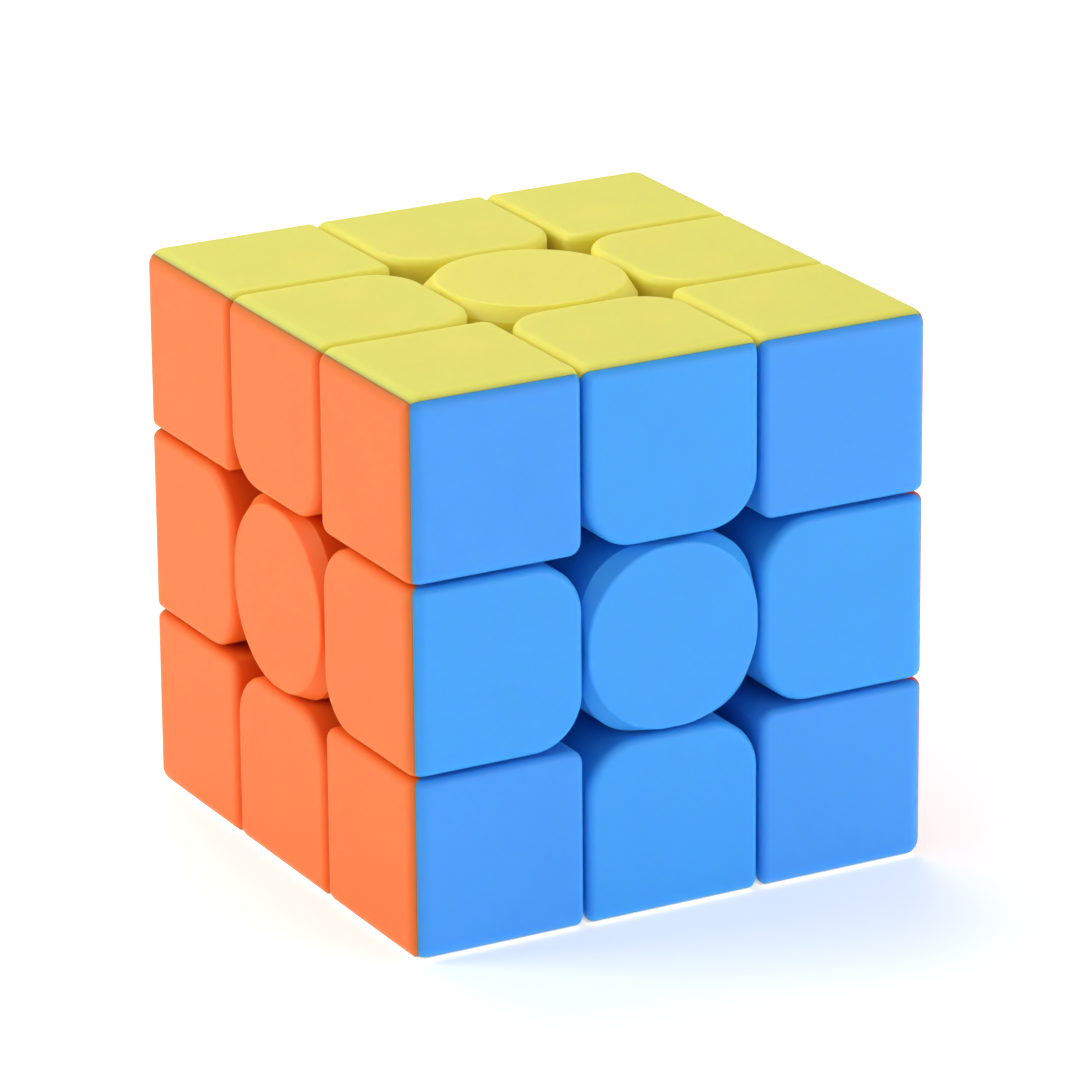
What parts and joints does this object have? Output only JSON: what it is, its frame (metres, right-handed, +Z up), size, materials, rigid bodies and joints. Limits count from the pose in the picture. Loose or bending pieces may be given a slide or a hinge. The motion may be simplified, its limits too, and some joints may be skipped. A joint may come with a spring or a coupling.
{
  "type": "twisty puzzle cube",
  "caption": "Stickerless twisty puzzle cube of coloured plastic corner, edge and centre pieces that turn in layers round a sprung core.",
  "frame": {"origin": "middle of the white lower face, which the cube stands on", "axes": "+Z up through the yellow face, -Y out of the blue front face, -X out of the orange left face"},
  "size_m": [0.056, 0.056, 0.056],
  "materials": {
    "yellow_plastic": "frosted satin moulded plastic",
    "white_plastic": "frosted satin moulded plastic",
    "blue_plastic": "frosted satin moulded plastic",
    "green_plastic": "frosted satin moulded plastic",
    "orange_plastic": "frosted satin moulded plastic",
    "red_plastic": "frosted satin moulded plastic",
    "core_plastic": "plain moulded nylon",
    "screw_steel": "zinc plated",
    "washer_steel": "stamped, plated",
    "spring_steel": "drawn wire"
  },
  "bodies": {
    "core": {"core": "core_plastic", "core_screws": "screw_steel", "screw_washers": "washer_steel", "tension_springs": "spring_steel"},
    "centre_up": {"centre_up_yellow": "yellow_plastic"},
    "centre_down": {"centre_down_white": "white_plastic"},
    "centre_front": {"centre_front_blue": "blue_plastic"},
    "centre_back": {"centre_back_green": "green_plastic"},
    "centre_left": {"centre_left_orange": "orange_plastic"},
    "centre_right": {"centre_right_red": "red_plastic"},
    "edge_up_front": {"edge_up_front_yellow_shell": "yellow_plastic", "edge_up_front_blue_shell": "blue_plastic"},
    "edge_up_back": {"edge_up_back_yellow_shell": "yellow_plastic", "edge_up_back_green_shell": "green_plastic"},
    "edge_up_left": {"edge_up_left_yellow_shell": "yellow_plastic", "edge_up_left_orange_shell": "orange_plastic"},
    "edge_up_right": {"edge_up_right_yellow_shell": "yellow_plastic", "edge_up_right_red_shell": "red_plastic"},
    "edge_down_front": {"edge_down_front_white_shell": "white_plastic", "edge_down_front_blue_shell": "blue_plastic"},
    "edge_down_back": {"edge_down_back_white_shell": "white_plastic", "edge_down_back_green_shell": "green_plastic"},
    "edge_down_left": {"edge_down_left_white_shell": "white_plastic", "edge_down_left_orange_shell": "orange_plastic"},
    "edge_down_right": {"edge_down_right_white_shell": "white_plastic", "edge_down_right_red_shell": "red_plastic"},
    "edge_front_left": {"edge_front_left_blue_shell": "blue_plastic", "edge_front_left_orange_shell": "orange_plastic"},
    "edge_front_right": {"edge_front_right_blue_shell": "blue_plastic", "edge_front_right_red_shell": "red_plastic"},
    "edge_back_left": {"edge_back_left_green_shell": "green_plastic", "edge_back_left_orange_shell": "orange_plastic"},
    "edge_back_right": {"edge_back_right_green_shell": "green_plastic", "edge_back_right_red_shell": "red_plastic"},
    "corner_up_front_left": {"corner_up_front_left_yellow_shell": "yellow_plastic", "corner_up_front_left_blue_shell": "blue_plastic", "corner_up_front_left_orange_shell": "orange_plastic"},
    "corner_up_front_right": {"corner_up_front_right_yellow_shell": "yellow_plastic", "corner_up_front_right_blue_shell": "blue_plastic", "corner_up_front_right_red_shell": "red_plastic"},
    "corner_up_back_left": {"corner_up_back_left_yellow_shell": "yellow_plastic", "corner_up_back_left_green_shell": "green_plastic", "corner_up_back_left_orange_shell": "orange_plastic"},
    "corner_up_back_right": {"corner_up_back_right_yellow_shell": "yellow_plastic", "corner_up_back_right_green_shell": "green_plastic", "corner_up_back_right_red_shell": "red_plastic"},
    "corner_down_front_left": {"corner_down_front_left_white_shell": "white_plastic", "corner_down_front_left_blue_shell": "blue_plastic", "corner_down_front_left_orange_shell": "orange_plastic"},
    "corner_down_front_right": {"corner_down_front_right_white_shell": "white_plastic", "corner_down_front_right_blue_shell": "blue_plastic", "corner_down_front_right_red_shell": "red_plastic"},
    "corner_down_back_left": {"corner_down_back_left_white_shell": "white_plastic", "corner_down_back_left_green_shell": "green_plastic", "corner_down_back_left_orange_shell": "orange_plastic"},
    "corner_down_back_right": {"corner_down_back_right_white_shell": "white_plastic", "corner_down_back_right_green_shell": "green_plastic", "corner_down_back_right_red_shell": "red_plastic"}
  },
  "joints": [
    {"name": "up_turn", "type": "hinge", "parent": "core", "child": "centre_up", "pos_m": [0, 0, 0.028], "axis": [0, 0, 1], "continuous": true},
    {"name": "down_turn", "type": "hinge", "parent": "core", "child": "centre_down", "pos_m": [0, 0, 0.028], "axis": [0, 0, -1], "continuous": true},
    {"name": "front_turn", "type": "hinge", "parent": "core", "child": "centre_front", "pos_m": [0, 0, 0.028], "axis": [0, -1, 0], "continuous": true},
    {"name": "back_turn", "type": "hinge", "parent": "core", "child": "centre_back", "pos_m": [0, 0, 0.028], "axis": [0, 1, 0], "continuous": true},
    {"name": "left_turn", "type": "hinge", "parent": "core", "child": "centre_left", "pos_m": [0, 0, 0.028], "axis": [-1, 0, 0], "continuous": true},
    {"name": "right_turn", "type": "hinge", "parent": "core", "child": "centre_right", "pos_m": [0, 0, 0.028], "axis": [1, 0, 0], "continuous": true},
    {"name": "edge_up_front_with_front", "type": "hinge", "parent": "centre_up", "child": "edge_up_front", "pos_m": [0, 0, 0.028], "axis": [0, -1, 0], "continuous": true},
    {"name": "edge_up_back_with_back", "type": "hinge", "parent": "centre_up", "child": "edge_up_back", "pos_m": [0, 0, 0.028], "axis": [0, 1, 0], "continuous": true},
    {"name": "edge_up_left_with_up", "type": "hinge", "parent": "centre_left", "child": "edge_up_left", "pos_m": [0, 0, 0.028], "axis": [0, 0, 1], "continuous": true},
    {"name": "edge_up_right_with_up", "type": "hinge", "parent": "centre_right", "child": "edge_up_right", "pos_m": [0, 0, 0.028], "axis": [0, 0, 1], "continuous": true},
    {"name": "edge_down_front_with_front", "type": "hinge", "parent": "centre_down", "child": "edge_down_front", "pos_m": [0, 0, 0.028], "axis": [0, -1, 0], "continuous": true},
    {"name": "edge_down_back_with_back", "type": "hinge", "parent": "centre_down", "child": "edge_down_back", "pos_m": [0, 0, 0.028], "axis": [0, 1, 0], "continuous": true},
    {"name": "edge_down_left_with_down", "type": "hinge", "parent": "centre_left", "child": "edge_down_left", "pos_m": [0, 0, 0.028], "axis": [0, 0, -1], "continuous": true},
    {"name": "edge_down_right_with_down", "type": "hinge", "parent": "centre_right", "child": "edge_down_right", "pos_m": [0, 0, 0.028], "axis": [0, 0, -1], "continuous": true},
    {"name": "edge_front_left_with_left", "type": "hinge", "parent": "centre_front", "child": "edge_front_left", "pos_m": [0, 0, 0.028], "axis": [-1, 0, 0], "continuous": true},
    {"name": "edge_front_right_with_right", "type": "hinge", "parent": "centre_front", "child": "edge_front_right", "pos_m": [0, 0, 0.028], "axis": [1, 0, 0], "continuous": true},
    {"name": "edge_back_left_with_left", "type": "hinge", "parent": "centre_back", "child": "edge_back_left", "pos_m": [0, 0, 0.028], "axis": [-1, 0, 0], "continuous": true},
    {"name": "edge_back_right_with_right", "type": "hinge", "parent": "centre_back", "child": "edge_back_right", "pos_m": [0, 0, 0.028], "axis": [1, 0, 0], "continuous": true},
    {"name": "corner_up_front_left_with_up", "type": "hinge", "parent": "edge_front_left", "child": "corner_up_front_left", "pos_m": [0, 0, 0.028], "axis": [0, 0, 1], "continuous": true},
    {"name": "corner_up_front_right_with_up", "type": "hinge", "parent": "edge_front_right", "child": "corner_up_front_right", "pos_m": [0, 0, 0.028], "axis": [0, 0, 1], "continuous": true},
    {"name": "corner_up_back_left_with_up", "type": "hinge", "parent": "edge_back_left", "child": "corner_up_back_left", "pos_m": [0, 0, 0.028], "axis": [0, 0, 1], "continuous": true},
    {"name": "corner_up_back_right_with_up", "type": "hinge", "parent": "edge_back_right", "child": "corner_up_back_right", "pos_m": [0, 0, 0.028], "axis": [0, 0, 1], "continuous": true},
    {"name": "corner_down_front_left_with_down", "type": "hinge", "parent": "edge_front_left", "child": "corner_down_front_left", "pos_m": [0, 0, 0.028], "axis": [0, 0, -1], "continuous": true},
    {"name": "corner_down_front_right_with_down", "type": "hinge", "parent": "edge_front_right", "child": "corner_down_front_right", "pos_m": [0, 0, 0.028], "axis": [0, 0, -1], "continuous": true},
    {"name": "corner_down_back_left_with_down", "type": "hinge", "parent": "edge_back_left", "child": "corner_down_back_left", "pos_m": [0, 0, 0.028], "axis": [0, 0, -1], "continuous": true},
    {"name": "corner_down_back_right_with_down", "type": "hinge", "parent": "edge_back_right", "child": "corner_down_back_right", "pos_m": [0, 0, 0.028], "axis": [0, 0, -1], "continuous": true}
  ],
  "couplings": [
    {"joint": "edge_up_front_with_front", "follows": "front_turn", "ratio": 1},
    {"joint": "edge_up_back_with_back", "follows": "back_turn", "ratio": 1},
    {"joint": "edge_up_left_with_up", "follows": "up_turn", "ratio": 1},
    {"joint": "edge_up_right_with_up", "follows": "up_turn", "ratio": 1},
    {"joint": "edge_down_front_with_front", "follows": "front_turn", "ratio": 1},
    {"joint": "edge_down_back_with_back", "follows": "back_turn", "ratio": 1},
    {"joint": "edge_down_left_with_down", "follows": "down_turn", "ratio": 1},
    {"joint": "edge_down_right_with_down", "follows": "down_turn", "ratio": 1},
    {"joint": "edge_front_left_with_left", "follows": "left_turn", "ratio": 1},
    {"joint": "edge_front_right_with_right", "follows": "right_turn", "ratio": 1},
    {"joint": "edge_back_left_with_left", "follows": "left_turn", "ratio": 1},
    {"joint": "edge_back_right_with_right", "follows": "right_turn", "ratio": 1},
    {"joint": "corner_up_front_left_with_up", "follows": "up_turn", "ratio": 1},
    {"joint": "corner_up_front_right_with_up", "follows": "up_turn", "ratio": 1},
    {"joint": "corner_up_back_left_with_up", "follows": "up_turn", "ratio": 1},
    {"joint": "corner_up_back_right_with_up", "follows": "up_turn", "ratio": 1},
    {"joint": "corner_down_front_left_with_down", "follows": "down_turn", "ratio": 1},
    {"joint": "corner_down_front_right_with_down", "follows": "down_turn", "ratio": 1},
    {"joint": "corner_down_back_left_with_down", "follows": "down_turn", "ratio": 1},
    {"joint": "corner_down_back_right_with_down", "follows": "down_turn", "ratio": 1}
  ]
}
